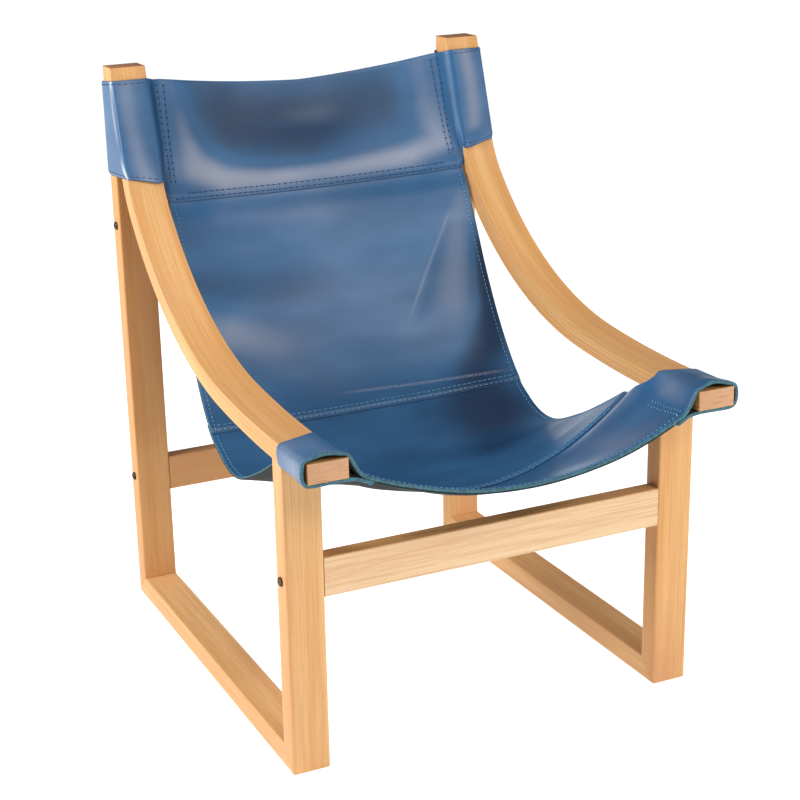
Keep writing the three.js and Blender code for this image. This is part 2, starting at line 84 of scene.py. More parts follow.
# Shader maths: a wire is a node's output, and adding or multiplying wires adds Math nodes
class Wire:
    def __init__(self, shader, socket):
        self.shader = shader
        self.socket = socket

    def maths(self, operation, first, second=0.0):
        return self.shader.add("ShaderNodeMath", {0: first, 1: second}, operation=operation)

    def __add__(self, other):
        return self.maths("ADD", self, other)

    def __sub__(self, other):
        return self.maths("SUBTRACT", self, other)

    def __rsub__(self, other):
        return self.maths("SUBTRACT", other, self)

    def __mul__(self, other):
        return self.maths("MULTIPLY", self, other)

    def __truediv__(self, other):
        return self.maths("DIVIDE", self, other)

    def sine(self):
        return self.maths("SINE", self)

    def size(self):
        return self.maths("ABSOLUTE", self)

    def fraction(self):
        return self.maths("FRACT", self)


class Shader:
    def __init__(self, name, **fixed):
        self.material = bpy.data.materials.new(name)
        self.material.use_nodes = True
        self.tree = self.material.node_tree
        self.surface = self.tree.nodes["Principled BSDF"]
        for socket, value in fixed.items():
            self.surface.inputs[socket.replace("_", " ")].default_value = value

    def add(self, kind, sockets=None, output=0, **settings):
        node = self.tree.nodes.new(kind)
        for key, value in settings.items():
            setattr(node, key, value)
        for key, value in (sockets or {}).items():
            self.feed(node.inputs[key], value)
        return Wire(self, node.outputs[output])

    def feed(self, socket, value):
        if isinstance(value, Wire):
            self.tree.links.new(value.socket, socket)
        else:
            socket.default_value = palette[value] if isinstance(value, str) else value

    def put(self, socket, value):
        self.feed(self.surface.inputs[socket], value)

    def place(self):
        return self.add("ShaderNodeTexCoord", output="Object")

    def stored(self, name, output="Vector"):
        return self.add("ShaderNodeAttribute", output=output, attribute_name=name)

    def split(self, vector):
        node = self.add("ShaderNodeSeparateXYZ", {"Vector": vector}).socket.node
        return [Wire(self, socket) for socket in node.outputs]

    def noise(self, vector, scale, detail=3.0, roughness=0.5, distortion=0.0):
        values = {"Vector": vector, "Scale": scale, "Detail": detail, "Roughness": roughness}
        return self.add("ShaderNodeTexNoise", {**values, "Distortion": distortion})

    def streaks(self, vector, scales, detail, roughness=0.5, move=(0.0, 0.0, 0.0), distortion=0.0):
        drawn = self.add("ShaderNodeMapping", {"Vector": vector, "Scale": scales, "Location": move})
        return self.noise(drawn, 1.0, detail, roughness, distortion)

    def step(self, value, low, high, start=0.0, end=1.0):
        values = {"Value": value, "From Min": low, "From Max": high, "To Min": start, "To Max": end}
        return self.add("ShaderNodeMapRange", values, interpolation_type="SMOOTHSTEP")

    def blend(self, factor, first, second):
        return self.add("ShaderNodeMix", {0: factor, 6: first, 7: second}, 2, data_type="RGBA")

    # Lays a colour over another where a pattern is strong
    def veil(self, tone, pattern, low, high, strength, over):
        return self.blend(self.step(pattern, low, high) * strength, tone, over)

    def bump(self, height, strength, distance):
        values = {"Height": height, "Strength": strength, "Distance": distance}
        self.put("Normal", self.add("ShaderNodeBump", values))


def colour(red, green, blue):
    def linear(value):
        share = value / 255
        return share / 12.92 if share <= 0.04045 else ((share + 0.055) / 1.055) ** 2.4

    return (linear(red), linear(green), linear(blue), 1.0)


palette = {
    # wood
    "light": colour(242, 188, 124), "middle": colour(232, 170, 101), "dark": colour(206, 147, 90),
    "cream": colour(250, 220, 180), "pore": colour(158, 106, 64), "blush": colour(223, 158, 110),
    # Painted shade: the warm orange tone below colours the front stretcher's top face, which lies in shade under the
    # seat
    "shadedTopWarm": colour(250, 186, 122), "endGrain": colour(214, 164, 124), "endLine": colour(150, 96, 60),
    "topGrain": colour(168, 118, 82),
    # bolts
    "bronze": colour(52, 42, 34), "rubbed": colour(104, 82, 62),
    # leather, its edges and its threads
    # Some leather tones paint light: the pale grey-blue paints highlights as well as pale wear, the near-white one a
    # highlight line, the darkest blue painted shade as well as dark edge dye, and the light edge blue a highlight
    # along the rims' tops
    "deep": colour(46, 91, 133), "body": colour(54, 105, 151), "pale": colour(98, 112, 142),
    "paleWearAndHighlight": colour(158, 162, 178), "paintedShadeAndDarkDye": colour(8, 38, 68), "paintedWhiteHighlight": colour(212, 224, 234),
    "dye": colour(54, 112, 124), "dyeDark": colour(34, 80, 92), "hem": colour(36, 70, 104),
    "edgeHighlightBlue": colour(88, 140, 184), "thread": colour(118, 176, 214), "darkThread": colour(40, 78, 120),
    "hole": colour(22, 42, 68), "flesh": colour(28, 34, 42), "suede": colour(28, 34, 36),
    "suedeLight": colour(52, 60, 61),
}


def deselect():
    if bpy.context.object and bpy.context.object.mode != "OBJECT":
        bpy.ops.object.mode_set(mode="OBJECT")
    bpy.ops.object.select_all(action="DESELECT")


def store(mesh, name, kind, values):
    layer = mesh.attributes.new(name, kind, "POINT")
    layer.data.foreach_set("value" if kind == "FLOAT" else "vector", values.astype(np.float32).ravel())


def addPiece(name, mesh, finish, materials):
    mesh.polygons.foreach_set("material_index", finish)
    mesh.polygons.foreach_set("use_smooth", [True] * len(mesh.polygons))
    for material in materials:
        mesh.materials.append(material)
    piece = bpy.data.objects.new(name, mesh)
    bpy.context.scene.collection.objects.link(piece)
    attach(piece, "root")
    return piece


# Wood: pale, straight-grained, oiled. Its vector runs along the grain, across it and through it.
woodPatterns = {  # scales, detail, roughness and shift
    "warp": ((3.0, 11, 11), 2.0, 0.5, (3.1, 0.4, 1.7)),
    "broad": ((1.7, 38, 38), 2.0),
    "blushed": ((2.6, 26, 26), 1.0, 0.5, (5.3, 1.9, 0.6)),
    "streak": ((6, 360, 360), 3.0, 0.6),
    "fibre": ((22, 1500, 1500), 2.0),
    "pores": ((110, 2300, 2300), 1.0, 0.4),
}
ringScale, plyThickness = 900, 0.0067


# Turned object coordinates, or the vector that is stored on a bent rail
def grainVector(wood, turn):
    if turn is None:
        return wood.stored("grain")
    return wood.add("ShaderNodeMapping", {"Vector": wood.place(), "Rotation": turn}, vector_type="POINT")


# A cut end lies past a place along one axis: the axis, where it starts and is full, and its two tones
def makeWood(name, turn=None, cream=0.12, blush=0.4, tan=0.0, plies=False, cutEnd=None):
    wood = Shader(name, Roughness=0.5, Specular_IOR_Level=0.4)
    grain = grainVector(wood, turn)
    axes = wood.split(grain)
    across, depth = axes[1:]
    warp, broad, blushed, streak, fibre, pores = (wood.streaks(grain, *look) for look in woodPatterns.values())
    rings = ((across * 0.8 + depth * 0.6 + warp * 0.05) * ringScale).sine()
    ringed = wood.step(rings, 0.1, 1.0) * wood.step(broad, 0.4, 0.6)
    tone = wood.blend(wood.step(broad, 0.36, 0.66), "light", "middle")
    tone = wood.blend(cream, tone, "cream")
    # Painted shade: tan darkens a whole piece toward the dark tone, for pieces that stand in shade under the sling
    tone = wood.blend(tan, tone, "dark")
    tone = wood.veil(tone, streak, 0.42, 0.7, 0.42, "dark")
    tone = wood.blend(ringed * 0.16, tone, "dark")
    tone = wood.veil(tone, blushed, 0.45, 0.72, blush, "blush")
    tone = wood.veil(tone, fibre, 0.5, 0.8, 0.3, "dark")
    tone = wood.veil(tone, pores, 0.64, 0.78, 0.4, "pore")
    if plies:
        glue = (depth / plyThickness + warp * 0.25 + 0.5).fraction() - 0.5
        line = wood.step(glue.size(), 0.09, 0.0) * wood.step(broad, 0.3, 0.6, 0.5, 1.0)
        tone = wood.blend(line * 0.75, tone, "pore")
    if cutEnd:
        axis, start, full, base, line = cutEnd
        dark = wood.streaks(grain, (10, 90, 900), 3.0)
        lined = wood.veil(base, dark, 0.52, 0.72, 0.5, line)
        tone = wood.blend(wood.step(axes[axis], start, full), tone, lined)
    wood.put("Base Color", tone)
    wood.put("Roughness", wood.step(streak, 0.2, 0.8, 0.44, 0.58))
    wood.bump(fibre * 0.5 - wood.step(pores, 0.64, 0.78), 0.2, 0.0003)
    return wood.material


def makeEndGrain(tone):
    wood = Shader(f"{tone}Wood", Roughness=0.6, Specular_IOR_Level=0.35)
    grain = grainVector(wood, None)
    streak = wood.streaks(grain, (4, 34, 420), 3.0, 0.6)
    speck = wood.streaks(grain, (900, 900, 1400), 1.0)
    lined = wood.veil(tone, streak, 0.48, 0.74, 0.5, "endLine")
    wood.put("Base Color", wood.veil(lined, speck, 0.58, 0.7, 0.3, "pore"))
    wood.bump(speck, 0.2, 0.0003)
    return wood.material


# Bolts and barrel nuts: bronzed steel, rubbed bright in patches
def makeBronze():
    steel = Shader("bronzedSteel", Metallic=0.9, Roughness=0.36)
    place = steel.place()
    cloud = steel.noise(place, 240.0)
    scratch = steel.streaks(place, (300, 2600, 2600), 2.0)
    steel.put("Base Color", steel.blend(steel.step(cloud, 0.35, 0.7), "bronze", "rubbed"))
    steel.put("Roughness", steel.step(scratch, 0.3, 0.7, 0.28, 0.48))
    return steel.material


quarter = math.pi / 2
upward, backward, sideways = (0.0, quarter, 0.0), (0.0, 0.0, -quarter), (0.0, 0.0, 0.0)
legTop = (0, 0.8643, 0.8648, "topGrain", "endLine")
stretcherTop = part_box("front_stretcher")[1].z
# Painted shade: the front stretcher's top face gets a warmer, darker tone than its lit front
shadedTopTone = (2, stretcherTop - 0.0014, stretcherTop - 0.0006, "shadedTopWarm", "pore")
legWood = makeWood("uprightWood", upward, cutEnd=legTop)
floorWood = makeWood("floorRailWood", backward)
# Painted shade: the back stretchers stand in shade under the sling, and tan darkens their wood
shadeDarkenedBackWood = makeWood("shadeDarkenedBackStretcherWood", sideways, cream=0.0, blush=0.6, tan=0.55)
frameWoods = {
    "left_front_leg": legWood,
    "right_front_leg": makeWood("rightLegWood", upward, cream=0.0, blush=0.8),
    # Painted shade: the left rear leg, in shade under the sling, is darkened by tan
    "left_rear_leg": makeWood("shadeDarkenedRearLegWood", upward, cream=0.0, tan=0.4, cutEnd=legTop),
    "right_rear_leg": legWood,
    "left_floor_rail": floorWood,
    "right_floor_rail": floorWood,
    "front_stretcher": makeWood("frontStretcherWood", sideways, cream=0.75, blush=0.2, cutEnd=shadedTopTone),
    "lower_back_stretcher": shadeDarkenedBackWood,
    "upper_back_stretcher": shadeDarkenedBackWood,
}
bronze = makeBronze()
railFinishes = (makeWood("bentRailWood", cream=0.0, plies=True), makeEndGrain("endGrain"), makeEndGrain("topGrain"))
for name, node in nodes.items():
    finish = bronze if "bolt" in name or "nut" in name else frameWoods.get(name)
    if finish:
        node.data.materials.clear()
        node.data.materials.append(finish)
print("materials for the frame made")


# Shape of the rails and of the sling, in metres from the front legs' face, as the frame has them
rail = {
    "reach": 0.087,
    "tipHeight": 0.4584,
    "tipSlope": math.radians(-3.04),
    "bends": ((0.297, math.radians(9.22)), (0.397, math.radians(43.04)), (0.075, math.radians(23.06))),
    "depth": 0.0268,
    "width": 0.0545,
    "top": 0.865,
    "easedEdge": 0.0026,  # where the leather turns round a rail; the bars' own long edges are sharp
    "cutEdge": 0.0005,
    "bendSteps": (12, 56, 24),
}
chair = {"outerFace": 0.310, "innerFace": 0.2555, "legDepth": 0.031, "rearLean": math.radians(0.66)}
chair["rearTopDepth"] = 0.0119  # from the rail's back to the rear leg's back, at the top


def railAt(along):
    y = np.full_like(along, -rail["reach"])
    z = np.full_like(along, rail["tipHeight"])
    slope = np.full_like(along, rail["tipSlope"])
    left = along.copy()
    for length, turn in rail["bends"]:
        run = np.minimum(left, length)
        radius = length / turn
        after = slope + run / radius
        y += radius * (np.sin(after) - np.sin(slope))
        z += radius * (np.cos(slope) - np.cos(after))
        slope = after
        left = left - run
    return y + left * np.cos(slope), z + left * np.sin(slope), slope


def belowRail(along, drop):
    y, z, slope = railAt(along)
    return y + drop * np.sin(slope), z - drop * np.cos(slope)


def railSpot(along):
    return [value[0] for value in railAt(np.array([along]))]


bendsLength = sum(length for length, _ in rail["bends"])
bendsEnd = railSpot(bendsLength)
railLength = bendsLength + (rail["top"] - bendsEnd[1]) / math.sin(bendsEnd[2])
alongRail = np.linspace(-0.05, railLength + 0.05, 4000)
halfDepth = rail["depth"] / 2


def railHeightAt(y, side):
    line = belowRail(alongRail, side * halfDepth)
    return np.interp(y, *line)


def railDepthAt(z, side):
    upper = alongRail > rail["bends"][0][0]
    y, height = belowRail(alongRail[upper], side * halfDepth)
    return np.interp(z, height, y)


rearBackTop = railDepthAt(rail["top"], 1) + chair["rearTopDepth"]


def rearLegBack(z):
    return rearBackTop + (z - rail["top"]) * math.tan(chair["rearLean"])


def drawOut(slope, length):
    move = (0, math.cos(slope) * length, math.sin(slope) * length)
    bpy.ops.mesh.extrude_edges_move(TRANSFORM_OT_translate={"value": move})


# Sling rails: laminated bars, swept along their bends, with the grain's own vector stored on them
def makeSlingRail(name, x):
    deselect()
    lead = 0.006  # in front of the tip, for the upright cut
    y, z, slope = railSpot(-lead)
    bpy.ops.mesh.primitive_plane_add(size=1, location=(x, y, z), rotation=(quarter + slope, 0, 0))
    bar = bpy.context.object
    bar.name = name
    bar.scale = (rail["width"], rail["depth"], 1)
    bpy.ops.object.transform_apply(location=True, rotation=True, scale=True)
    bpy.ops.object.mode_set(mode="EDIT")
    bpy.ops.mesh.select_all(action="SELECT")
    bpy.ops.mesh.delete(type="ONLY_FACE")
    bpy.ops.mesh.select_all(action="SELECT")
    drawOut(slope, lead)
    reached = 0.0
    for (length, turn), steps in zip(rail["bends"], rail["bendSteps"]):
        y, z, slope = railSpot(reached)
        radius = length / turn
        middle = (x, y - radius * math.sin(slope), z + radius * math.cos(slope))
        bpy.ops.mesh.spin(steps=steps, angle=-turn, center=middle, axis=(1, 0, 0))
        reached += length
    drawOut(bendsEnd[2], railLength - reached + 0.03)
    bpy.ops.mesh.select_all(action="SELECT")
    bpy.ops.mesh.remove_doubles(threshold=1e-6)
    for place, normal in (((0, -rail["reach"], 0), (0, -1, 0)), ((0, 0, rail["top"]), (0, 0, 1))):
        bpy.ops.mesh.select_all(action="SELECT")
        bpy.ops.mesh.bisect(plane_co=place, plane_no=normal, clear_outer=True, use_fill=True)
        bpy.ops.mesh.bevel(offset=rail["cutEdge"], segments=2, affect="EDGES")
    bpy.ops.mesh.select_all(action="SELECT")
    bpy.ops.mesh.normals_make_consistent(inside=False)
    bpy.ops.object.mode_set(mode="OBJECT")
    bpy.ops.object.shade_smooth_by_angle(angle=math.radians(40))
    storeGrain(bar, x)
    for finish in railFinishes:
        bar.data.materials.append(finish)
    for face in bar.data.polygons:
        if face.normal.y < -0.99 and face.center.y < -rail["reach"] + 0.0003:
            face.material_index = 1
        if face.center.z > rail["top"] - 0.0003:
            face.material_index = 2
    bar.data.transform(Matrix.Translation((0, legFront, 0)))
    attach(bar, "root")
    return bar


def storeGrain(bar, x):
    spots = np.array([vert.co for vert in bar.data.vertices])
    y, z, slope = railAt(alongRail)
    nearest = np.array([np.argmin((y - spot[1]) ** 2 + (z - spot[2]) ** 2) for spot in spots])
    aside, above, slope = spots[:, 1] - y[nearest], spots[:, 2] - z[nearest], slope[nearest]
    depth = aside * -np.sin(slope) + above * np.cos(slope)
    store(bar.data, "grain", "FLOAT_VECTOR", np.stack([alongRail[nearest], spots[:, 0] + 6 * x, depth], axis=1))


railMiddle = chair["outerFace"] - rail["width"] / 2
for side, sign in (("left", -1), ("right", 1)):
    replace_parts(makeSlingRail(f"{side}LaminatedRail", sign * railMiddle), f"{side}_sling_rail")
print("sling rails made")


# The sling's own surface
sling = {
    "leather": 0.0028,
    "lining": 0.0012,
    "gap": 0.0003,
    "lap": 0.018,
    "ramp": 0.034,
    "setback": 0.002,
    "skive": 0.0017,
    "frontFold": {"thickness": 0.0022, "from": 0.06, "full": 0.012},
    "sag": 0.186,
    "halfWidth": 0.25,
    "seams": {"head": 0.178, "seat": 0.514, "front": 0.8355},
    "edge": (
        (0.972, 0.008, 0.932), (0.815, -0.01, 0.939), (0.768, -0.026, 0.978), (0.684, 0.092, 0.982),
        (0.605, 0.344, 1.002), (0.535, 0.603, 1.018), (0.472, 0.812, 1.025), (0.422, 0.903, 1.025),
        (0.377, 0.871, 1.025), (0.313, 0.634, 1.025), (0.249, 0.402, 1.022), (0.184, 0.179, 1.0),
        (0.141, 0.062, 0.984), (0.098, 0.09, 0.945), (0.045, 0.088, 0.939), (0.003, 0.078, 0.941),
    ),
    "middle": (
        (0.977, 0.095), (0.823, 0.096), (0.774, 0.137), (0.694, 0.231), (0.614, 0.428),
        (0.541, 0.656), (0.473, 0.877), (0.401, 0.999), (0.348, 0.996), (0.291, 0.923),
        (0.195, 0.752), (0.095, 0.558), (-0.008, 0.362),
    ),
}


def splineAt(points, places):
    last = len(points) - 1
    ends = [2 * points[:1] - points[1:2], points, 2 * points[-1:] - points[-2:-1]]
    longer = np.concatenate(ends)
    first = np.clip(np.floor(places).astype(int), 0, last - 1)
    share = (places - first).reshape(-1, *([1] * (points.ndim - 1)))
    p0, p1, p2, p3 = (longer[first + k] for k in range(4))

    def gap(a, b):
        return np.maximum(np.linalg.norm(b - a, axis=-1, keepdims=True), 1e-7) ** 0.5

    d0, d1, d2 = gap(p0, p1), gap(p1, p2), gap(p2, p3)
    leave = ((p1 - p0) / d0 - (p2 - p0) / (d0 + d1) + (p2 - p1) / d1) * d1
    arrive = ((p2 - p1) / d1 - (p3 - p1) / (d1 + d2) + (p3 - p2) / d2) * d1
    square = (3 * (p2 - p1) - 2 * leave - arrive) * share**2
    cube = (2 * (p1 - p2) + leave + arrive) * share**3
    return p1 + leave * share + square + cube


# How far along its line each point lies
def walked(points):
    steps = np.diff(points, axis=-2, prepend=points[..., :1, :])
    return np.cumsum(np.linalg.norm(steps, axis=-1), axis=-1)


def evenSpline(points):
    places = np.linspace(0, len(points) - 1, 401)
    reached = walked(splineAt(points, places))
    return (lambda share: splineAt(points, np.interp(share * reached[-1], reached, places))), reached[-1]


def railPoints(rows):
    shares = np.array(rows).T
    y, z = belowRail(shares[0] * railLength, shares[1] * sling["sag"])
    x = shares[2] * chair["innerFace"] if len(shares) > 2 else np.zeros_like(y)
    return np.stack([x, y, z], axis=1)


edgeLine, edgeLength = evenSpline(railPoints(sling["edge"]))
middleLine, slingLength = evenSpline(railPoints(sling["middle"]))
lapShare = sling["lap"] / slingLength
lapStep = sling["leather"] + sling["gap"]
halfLeather = sling["leather"] / 2


def slingPoint(across, down):
    across, down = np.broadcast_arrays(np.asarray(across, float), np.asarray(down, float))
    edge = edgeLine(down.ravel()).reshape(*down.shape, 3)
    middle = middleLine(down.ravel()).reshape(*down.shape, 3)
    point = middle + (edge - middle) * across[..., None] ** 2
    point[..., 0] = across * edge[..., 0]
    return point


def unit(vectors):
    return vectors / np.maximum(np.linalg.norm(vectors, axis=-1, keepdims=True), 1e-12)


def slingNormal(across, down):
    nudge = 0.001 / slingLength
    downward = slingPoint(across, np.minimum(down + nudge, 1)) - slingPoint(across, np.maximum(down - nudge, 0))
    outward = slingPoint(across, down) - slingPoint(np.asarray(across) - nudge, down)
    return unit(np.cross(downward, outward))


def smoothstep(value, low, high):
    share = np.clip((value - low) / (high - low), 0, 1)
    return share * share * (3 - 2 * share)


def lapDrop(down, seam):
    return -lapStep * (1 - smoothstep((down - seam) * slingLength, 0, sling["ramp"]))


# Soft unevenness of the hung leather: long waves, and a few creases as
# (across, down) to (across, down), half width and height in metres
waves = {"height": 0.0011, "phases": (0.4, 1.9, 3.3, 5.1)}
creases = (
    ((0.86, 0.235), (0.42, 0.40), 0.012, 0.0011),
    ((-0.75, 0.40), (-0.30, 0.47), 0.03, -0.0012),
    ((-0.9, 0.30), (-0.35, 0.26), 0.04, 0.0014),
    ((0.55, 0.70), (0.95, 0.66), 0.03, 0.0012),
    ((0.35, 0.80), (0.9, 0.755), 0.02, 0.0011),
    ((-0.2, 0.07), (0.25, 0.075), 0.02, 0.0009),
    ((-0.60, 0.68), (-0.20, 0.86), 0.055, 0.008),
)


# The head seam is stiff and stands proud, and so do the band's sewn sides
ridge = {"seam": 0.0034, "above": 0.032, "below": 0.08, "side": 0.0042, "place": 0.93, "width": 0.11}


def relief(across, down):
    u, v = across * sling["halfWidth"], down * slingLength
    past = v - sling["seams"]["head"] * slingLength
    p = waves["phases"]
    wave = np.sin(9 * u + 17 * v + p[0]) + np.sin(31 * u - 13 * v + p[1])
    wave += 0.6 * np.sin(47 * u + 29 * v + p[2]) + 0.5 * np.sin(11 * u - 43 * v + p[3])
    height = waves["height"] * wave / 3
    for (u0, v0), (u1, v1), width, lift in creases:
        size = np.array([sling["halfWidth"], slingLength])
        start, end = (u0, v0) * size, (u1, v1) * size
        run = end - start
        length = np.linalg.norm(run)
        ahead = ((u - start[0]) * run[0] + (v - start[1]) * run[1]) / length**2
        aside = ((u - start[0]) * run[1] - (v - start[1]) * run[0]) / length
        taper = smoothstep(ahead, -0.15, 0.3) * smoothstep(ahead, 1.15, 0.7)
        height += lift * taper * np.exp(-((aside / width) ** 2))
    height += ridge["seam"] * np.exp(-((past / np.where(past < 0, ridge["above"], ridge["below"])) ** 2))
    beside = np.exp(-(((np.abs(across) - ridge["place"]) / ridge["width"]) ** 2))
    height += ridge["side"] * beside * smoothstep(past, 0.03, -0.02)
    return height * (1 - np.abs(np.clip(across, -1, 1)) ** 6)


# Painted light and shade on the leather, partly also pull-up leather gone pale or stayed dark: lines of points,
# each with its place across and down the sling and half width in millimetres, and its strength in hundredths.
# Pale lines paint broad highlights and reflections, the strongest a white highlight line down the left sleeve's outer
# corner; dark lines paint shade in the head band's middle, beside the sleeves, on the back and on the seat.
paintedLightAndWearPatches = (
    ((-210, 10, 18, 38), (-203, 90, 20, 56), (-192, 140, 32, 92), (-150, 163, 26, 100), (-80, 168, 20, 95),
     (60, 164, 22, 80), (170, 158, 24, 78), (225, 140, 26, 64), (205, 80, 34, 52), (200, 20, 28, 40)),
    ((-113, 69, 7, 10), (-30, 80, 8, 24), (50, 83, 6, 12)),
    ((-160, 20, 60, -60), (-110, 70, 65, -90), (0, 80, 70, -100), (125, 55, 70, -65)),
    ((-303, 10, 18, 48), (-307, 100, 16, 42), (-311, 185, 20, 55)),
    ((-253, 10, 11, -70), (-257, 185, 13, -80)),
    ((253, 10, 9, -30), (257, 185, 11, -50)),
    ((-323, 0, 2.8, 140), (-343, 195, 2.4, 140)),
    ((290, 10, 15, 62), (300, 150, 17, 55)),
    ((-170, 222, 24, 22), (0, 228, 34, 34), (130, 232, 26, 8)),
    ((-60, 350, 70, -20), (80, 350, 70, -30)),
    ((150, 228, 30, -28), (190, 222, 24, -28)),
    ((-230, 392, 30, 30), (-190, 405, 34, 52), (-120, 430, 40, 40), (-20, 420, 50, 10)),
    ((232, 240, 12, 25), (214, 310, 30, 44), (190, 400, 38, 40), (165, 450, 34, 12)),
    ((-245, 320, 26, -45), (-160, 345, 30, -40), (-20, 365, 30, -20)),
    ((252, 320, 12, -90), (250, 420, 20, -110), (235, 480, 30, -80), (200, 515, 34, -45)),
    ((100, 590, 70, -45), (185, 600, 80, -100), (165, 690, 75, -60)),
    ((10, 680, 60, -30), (120, 720, 50, -25)),
    ((160, 960, 28, 20), (150, 1050, 34, 25)),
    ((-346, 975, 20, 42), (-345, 1085, 20, 42)),
    ((-310, 975, 20, 30), (-300, 1085, 20, 34)),
    ((290, 975, 20, 26), (268, 1015, 24, 46), (258, 1060, 22, 32)),
)


def paintedLightAndWearAt(place):
    total = np.zeros(len(place))
    for patch in paintedLightAndWearPatches:
        spots = np.array(patch) / (1000, 1000, 1000, 100)
        strongest = np.zeros(len(place))
        for start, run in zip(spots, np.diff(spots, axis=0)):
            share = np.clip(((place - start[:2]) @ run[:2]) / (run[:2] @ run[:2]), 0, 1)
            nearest = start + share[:, None] * run
            away = np.linalg.norm(place - nearest[:, :2], axis=1)
            value = nearest[:, 3] * np.exp(-((away / nearest[:, 2]) ** 2))
            strongest = np.where(np.abs(value) > np.abs(strongest), value, strongest)
        total += strongest
    return total


# Leather finishes. Patterns follow the sheet's own map, in metres across and down.
# A thin straight mark: how far a place lies from its line, and where along it fades in and out
def thinMark(shader, away, widths, along, fadeIn, fadeOut):
    return shader.step(away.size(), *widths) * shader.step(along, *fadeIn) * shader.step(along, *fadeOut)


def makeLeather():
    leather = Shader("blueLeather", Roughness=0.4, Specular_IOR_Level=0.4)
    place = leather.stored("sling")
    across, down, _ = leather.split(place)
    cloud = leather.streaks(place, (5, 13, 1), 3.0, 0.5, (2.0, 0.6, 0.0))
    mottle = leather.noise(place, 300.0, 4.0, 0.65)
    brushed = leather.streaks(place, (26, 560, 1), 3.0, 0.6)
    cells = leather.add("ShaderNodeTexVoronoi", {"Vector": place, "Scale": 900.0}, feature="SMOOTH_F1")
    # Painted highlights and painted shade, partly pull-up wear, from the stored patches
    paintedLightAndWear = leather.stored("paintedLightAndWear", "Fac") + (cloud - 0.5) * 0.1
    tone = leather.blend(leather.step(cloud, 0.3, 0.72), "deep", "body")
    # The pale tone here paints highlights and reflections as well as pale pull-up wear
    tone = leather.blend(leather.step(paintedLightAndWear, 0.0, 1.0) * (mottle * 0.5 + 0.62), tone, "paleWearAndHighlight")
    # Painted shade: negative patches darken the leather toward the darkest blue
    tone = leather.veil(tone, paintedLightAndWear, -0.1, -0.9, 0.8, "paintedShadeAndDarkDye")
    # Painted highlight: near-white where the patches are strongest, the line down the left sleeve's outer corner
    tone = leather.blend(leather.step(paintedLightAndWear, 1.0, 1.4), tone, "paintedWhiteHighlight")
    awayFromLap = down - across * 0.042 - 0.5275
    rubbed = thinMark(leather, awayFromLap, (0.0036, 0.0004), across, (-0.06, 0.02), (0.27, 0.2))
    tone = leather.blend(rubbed * leather.step(mottle, 0.3, 0.6) * 0.5, tone, "paleWearAndHighlight")
    # Painted highlight: a thin pale line along the diagonal crease on the right of the back
    awayFromCreaseHighlight = across + down * 0.626 - 0.376
    folded = thinMark(leather, awayFromCreaseHighlight, (0.0045, 0.0006), down, (0.25, 0.29), (0.44, 0.38))
    tone = leather.blend(folded * (mottle * 0.3 + 0.12), tone, "paleWearAndHighlight")
    tone = leather.veil(tone, mottle, 0.45, 0.85, 0.1, "pale")
    tone = leather.veil(tone, brushed, 0.5, 0.85, 0.08, "pale")
    leather.put("Base Color", tone)
    leather.put("Roughness", leather.step(cloud * 0.6 + mottle * 0.4, 0.3, 0.7, 0.38, 0.28))
    leather.bump(cells * 0.6 + mottle * 0.7 + brushed * 0.2, 0.16, 0.0004)
    return leather.material


def makeSuede(name, base):
    suede = Shader(name, Roughness=0.95, Specular_IOR_Level=0.15, Sheen_Weight=0.1, Sheen_Roughness=0.6)
    place = suede.stored("sling")
    brushed = suede.streaks(place, (14, 22, 1), 4.0, 0.6, distortion=0.8)
    nap = suede.noise(place, 900.0, 3.0, 0.7)
    tone = suede.veil(base, brushed, 0.35, 0.7, 0.55, "suedeLight")
    suede.put("Base Color", suede.veil(tone, nap, 0.4, 0.7, 0.3, "suedeLight"))
    suede.bump(nap, 0.5, 0.0006)
    return suede.material


def makeDye(name, dark, light):
    dye = Shader(name, Roughness=0.5)
    place = dye.place()
    uneven = dye.step(dye.noise(place, 160.0, 3.0, 0.6), 0.35, 0.65)
    dye.put("Base Color", dye.blend(uneven, dark, light))
    dye.bump(dye.noise(place, 900.0, 2.0), 0.3, 0.0004)
    return dye.material


def makeThread(name, base):
    thread = Shader(name, Roughness=0.8, Specular_IOR_Level=0.2)
    twist = thread.noise(thread.place(), 1100.0, 2.0)
    thread.put("Base Color", thread.veil(base, twist, 0.35, 0.7, 0.45, "deep"))
    thread.bump(twist, 0.4, 0.0003)
    return thread.material


# A sheet's finishes are the top's, the rim's, the underside's, the rim's top ring with a painted highlight, and an
# inner hem's
blueLeather = makeLeather()
fleshSide = makeSuede("fleshSide", "flesh")
# Painted highlight: a light blue line along the top of every rounded rim
paintedEdgeHighlight = makeDye("paintedEdgeHighlight", "body", "edgeHighlightBlue")
skivedEdge = makeDye("skivedEdge", "paintedShadeAndDarkDye", "hem")
panelFinishes = (
    blueLeather, makeDye("dyedEdge", "dyeDark", "dye"), fleshSide, paintedEdgeHighlight, makeDye("hemEdge", "hem", "deep"),
)
headFinishes = (blueLeather, skivedEdge, fleshSide, paintedEdgeHighlight, skivedEdge)
suedeFinishes = (makeSuede("greySuede", "suede"),) * 5
threadFinishes = (
    makeThread("paleBlueThread", "thread"), makeThread("darkBlueThread", "darkThread"), makeThread("awlHole", "hole"),
)


# Sheets: a mid surface of quads gets its thickness, with a rounded, dyed rim
def gridQuads(rows, columns, first=0):
    at = np.arange(rows * columns).reshape(rows, columns) + first
    quads = np.stack([at[:-1, :-1], at[1:, :-1], at[1:, 1:], at[:-1, 1:]], axis=-1)
    return quads.reshape(-1, 4)


def pointNormals(points, quads):
    corner = points[quads]
    faces = np.cross(corner[:, 2] - corner[:, 0], corner[:, 3] - corner[:, 1])
    normals = np.zeros_like(points)
    for k in range(4):
        np.add.at(normals, quads[:, k], faces)
    return unit(normals)


